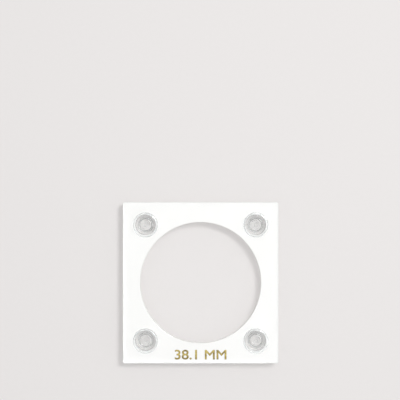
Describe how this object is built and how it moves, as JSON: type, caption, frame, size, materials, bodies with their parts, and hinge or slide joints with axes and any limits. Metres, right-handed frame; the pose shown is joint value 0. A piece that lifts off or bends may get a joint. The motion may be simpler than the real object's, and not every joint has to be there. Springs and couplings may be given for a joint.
{
  "type": "coin holder",
  "caption": "Near-square screw-together coin holder: clear front and back covers clamp a white centre plate with a round coin seat, held by clear screw posts through the corners.",
  "frame": {"origin": "below the middle of the plates, on the surface that the screw heads lie on", "axes": "+Z out of the front cover, +Y towards the top edge, +X to the right as seen from the front"},
  "size_m": [0.049, 0.0508, 0.0102],
  "materials": {
    "clear_acrylic": "polished",
    "white_acrylic": "gloss",
    "clear_styrene": "gloss"
  },
  "bodies": {
    "back_cover": {"back_cover": "clear_acrylic"},
    "centre_plate": {"centre_plate": "white_acrylic"},
    "front_cover": {"front_cover": "clear_acrylic"},
    "post_top_left": {"post_top_left": "clear_styrene"},
    "post_top_right": {"post_top_right": "clear_styrene"},
    "post_bottom_left": {"post_bottom_left": "clear_styrene"},
    "post_bottom_right": {"post_bottom_right": "clear_styrene"},
    "screw_top_left": {"screw_top_left": "clear_styrene"},
    "screw_top_right": {"screw_top_right": "clear_styrene"},
    "screw_bottom_left": {"screw_bottom_left": "clear_styrene"},
    "screw_bottom_right": {"screw_bottom_right": "clear_styrene"}
  },
  "joints": [
    {"name": "centre_plate_lift", "type": "slide", "parent": "back_cover", "child": "centre_plate", "axis": [0, 0, 1], "range_m": [0, 0.02]},
    {"name": "front_cover_lift", "type": "slide", "parent": "centre_plate", "child": "front_cover", "axis": [0, 0, 1], "range_m": [0, 0.045]},
    {"name": "screw_top_left_turn", "type": "hinge", "parent": "back_cover", "child": "screw_top_left", "pos_m": [-0.0174, 0.0183, 0], "axis": [0, 0, -1], "range_deg": [0, 2160]},
    {"name": "screw_top_right_turn", "type": "hinge", "parent": "back_cover", "child": "screw_top_right", "pos_m": [0.0174, 0.0183, 0], "axis": [0, 0, -1], "range_deg": [0, 2160]},
    {"name": "screw_bottom_left_turn", "type": "hinge", "parent": "back_cover", "child": "screw_bottom_left", "pos_m": [-0.0174, -0.0183, 0], "axis": [0, 0, -1], "range_deg": [0, 2160]},
    {"name": "screw_bottom_right_turn", "type": "hinge", "parent": "back_cover", "child": "screw_bottom_right", "pos_m": [0.0174, -0.0183, 0], "axis": [0, 0, -1], "range_deg": [0, 2160]},
    {"name": "post_top_left_rise", "type": "slide", "parent": "front_cover", "child": "post_top_left", "axis": [0, 0, 1], "range_m": [0, 0.0048]},
    {"name": "post_top_right_rise", "type": "slide", "parent": "front_cover", "child": "post_top_right", "axis": [0, 0, 1], "range_m": [0, 0.0048]},
    {"name": "post_bottom_left_rise", "type": "slide", "parent": "front_cover", "child": "post_bottom_left", "axis": [0, 0, 1], "range_m": [0, 0.0048]},
    {"name": "post_bottom_right_rise", "type": "slide", "parent": "front_cover", "child": "post_bottom_right", "axis": [0, 0, 1], "range_m": [0, 0.0048]}
  ],
  "couplings": [
    {"joint": "screw_top_left_turn", "follows": "post_top_left_rise", "rad_per_m": 7854},
    {"joint": "screw_top_right_turn", "follows": "post_top_right_rise", "rad_per_m": 7854},
    {"joint": "screw_bottom_left_turn", "follows": "post_bottom_left_rise", "rad_per_m": 7854},
    {"joint": "screw_bottom_right_turn", "follows": "post_bottom_right_rise", "rad_per_m": 7854}
  ]
}
